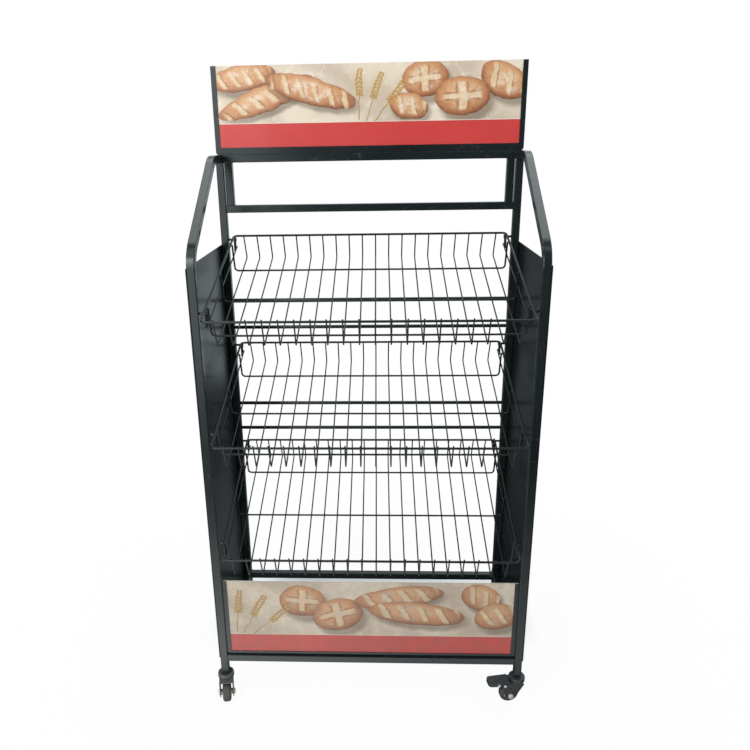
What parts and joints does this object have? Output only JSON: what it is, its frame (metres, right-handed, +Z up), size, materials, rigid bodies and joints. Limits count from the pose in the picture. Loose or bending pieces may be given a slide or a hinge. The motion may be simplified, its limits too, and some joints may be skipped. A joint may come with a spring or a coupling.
{
  "type": "bakery bread rack",
  "caption": "Tall mobile bread rack: black tube frame on swivel casters, sloping wire baskets, glossy side panels and slide-in sign cards above and below.",
  "frame": {"origin": "on the floor, under the middle of the overall box", "axes": "+X to the right seen from the front, +Y towards the back, +Z up; the baskets slope down to the front, which faces -Y"},
  "size_m": [0.806, 0.4776, 1.571],
  "materials": {
    "frame_coat": "semi-gloss black powder coat",
    "panel_gloss": "gloss black enamel",
    "wire_coat": "semi-gloss black powder coat",
    "sign_card": "printed card, satin",
    "socket_plastic": "matte black",
    "zinc_plate": "bright zinc plate",
    "fork_coat": "semi-gloss dark grey",
    "hub_plastic": "cream plastic, satin",
    "tyre_rubber": "matte dark grey"
  },
  "bodies": {
    "rack_frame": {"front_post_left": "frame_coat", "front_post_right": "frame_coat", "rear_post_left": "frame_coat", "rear_post_right": "frame_coat", "side_rail_left": "frame_coat", "side_rail_right": "frame_coat", "front_bottom_bar": "frame_coat", "rear_bottom_bar": "frame_coat", "top_bar": "frame_coat", "header_lower_bar": "frame_coat", "header_leg_left": "frame_coat", "header_leg_right": "frame_coat", "back_guard_rods": "frame_coat", "header_sign_holder": "frame_coat", "lower_sign_holder": "frame_coat", "basket_studs": "frame_coat", "side_panel_left": "panel_gloss", "side_panel_right": "panel_gloss", "stem_sockets": "socket_plastic", "caster_stems": "fork_coat"},
    "header_card": {"header_sign_card": "sign_card"},
    "lower_card": {"lower_sign_card": "sign_card"},
    "top_basket": {"top_basket_floor_wires": "wire_coat", "top_basket_cross_wires": "wire_coat", "top_basket_rim": "wire_coat", "top_basket_side_wires": "wire_coat", "top_basket_hooks": "wire_coat"},
    "middle_basket": {"middle_basket_floor_wires": "wire_coat", "middle_basket_cross_wires": "wire_coat", "middle_basket_rim": "wire_coat", "middle_basket_side_wires": "wire_coat", "middle_basket_hooks": "wire_coat"},
    "low_basket": {"low_basket_floor_wires": "wire_coat", "low_basket_cross_wires": "wire_coat", "low_basket_rim": "wire_coat", "low_basket_side_wires": "wire_coat", "low_basket_hooks": "wire_coat"},
    "front_right_swivel": {"front_right_fork": "fork_coat", "front_right_axle_bolt": "zinc_plate", "front_right_brake_pin": "zinc_plate"},
    "front_right_wheel": {"front_right_hub": "hub_plastic", "front_right_tyre": "tyre_rubber"},
    "front_right_pedal": {"front_right_brake_pedal": "fork_coat", "front_right_pedal_rivet": "zinc_plate"},
    "front_left_swivel": {"front_left_fork": "fork_coat", "front_left_axle_bolt": "zinc_plate"},
    "front_left_wheel": {"front_left_hub": "hub_plastic", "front_left_tyre": "tyre_rubber"},
    "rear_right_swivel": {"rear_right_fork": "fork_coat", "rear_right_axle_bolt": "zinc_plate"},
    "rear_right_wheel": {"rear_right_hub": "hub_plastic", "rear_right_tyre": "tyre_rubber"},
    "rear_left_swivel": {"rear_left_fork": "fork_coat", "rear_left_axle_bolt": "zinc_plate"},
    "rear_left_wheel": {"rear_left_hub": "hub_plastic", "rear_left_tyre": "tyre_rubber"}
  },
  "joints": [
    {"name": "top_basket_lift", "type": "slide", "parent": "rack_frame", "child": "top_basket", "axis": [0, 0, 1], "range_m": [0, 0.014]},
    {"name": "middle_basket_lift", "type": "slide", "parent": "rack_frame", "child": "middle_basket", "axis": [0, 0, 1], "range_m": [0, 0.014]},
    {"name": "low_basket_lift", "type": "slide", "parent": "rack_frame", "child": "low_basket", "axis": [0, 0, 1], "range_m": [0, 0.014]},
    {"name": "header_card_lift", "type": "slide", "parent": "rack_frame", "child": "header_card", "axis": [0, 0, 1], "range_m": [0, 0.19]},
    {"name": "lower_card_lift", "type": "slide", "parent": "rack_frame", "child": "lower_card", "axis": [0, 0, 1], "range_m": [0, 0.03]},
    {"name": "front_right_swivel_turn", "type": "hinge", "parent": "rack_frame", "child": "front_right_swivel", "pos_m": [0.3805, -0.16318, 0.066], "axis": [0, 0, 1], "continuous": true},
    {"name": "front_right_wheel_spin", "type": "hinge", "parent": "front_right_swivel", "child": "front_right_wheel", "pos_m": [0.3608, -0.16665, 0.025], "axis": [0.1736, -0.9848, 0], "continuous": true},
    {"name": "front_right_brake_press", "type": "hinge", "parent": "front_right_swivel", "child": "front_right_pedal", "pos_m": [0.34505, -0.16943, 0.058], "axis": [0.1736, -0.9848, 0], "range_deg": [0, 6]},
    {"name": "front_left_swivel_turn", "type": "hinge", "parent": "rack_frame", "child": "front_left_swivel", "pos_m": [-0.3805, -0.16318, 0.066], "axis": [0, 0, 1], "continuous": true},
    {"name": "front_left_wheel_spin", "type": "hinge", "parent": "front_left_swivel", "child": "front_left_wheel", "pos_m": [-0.37703, -0.18288, 0.025], "axis": [0.9848, 0.1736, 0], "continuous": true},
    {"name": "rear_right_swivel_turn", "type": "hinge", "parent": "rack_frame", "child": "rear_right_swivel", "pos_m": [0.3805, 0.21782, 0.066], "axis": [0, 0, 1], "continuous": true},
    {"name": "rear_right_wheel_spin", "type": "hinge", "parent": "rear_right_swivel", "child": "rear_right_wheel", "pos_m": [0.3805, 0.19782, 0.025], "axis": [1, 0, 0], "continuous": true},
    {"name": "rear_left_swivel_turn", "type": "hinge", "parent": "rack_frame", "child": "rear_left_swivel", "pos_m": [-0.3805, 0.21782, 0.066], "axis": [0, 0, 1], "continuous": true},
    {"name": "rear_left_wheel_spin", "type": "hinge", "parent": "rear_left_swivel", "child": "rear_left_wheel", "pos_m": [-0.3805, 0.19782, 0.025], "axis": [1, 0, 0], "continuous": true}
  ]
}
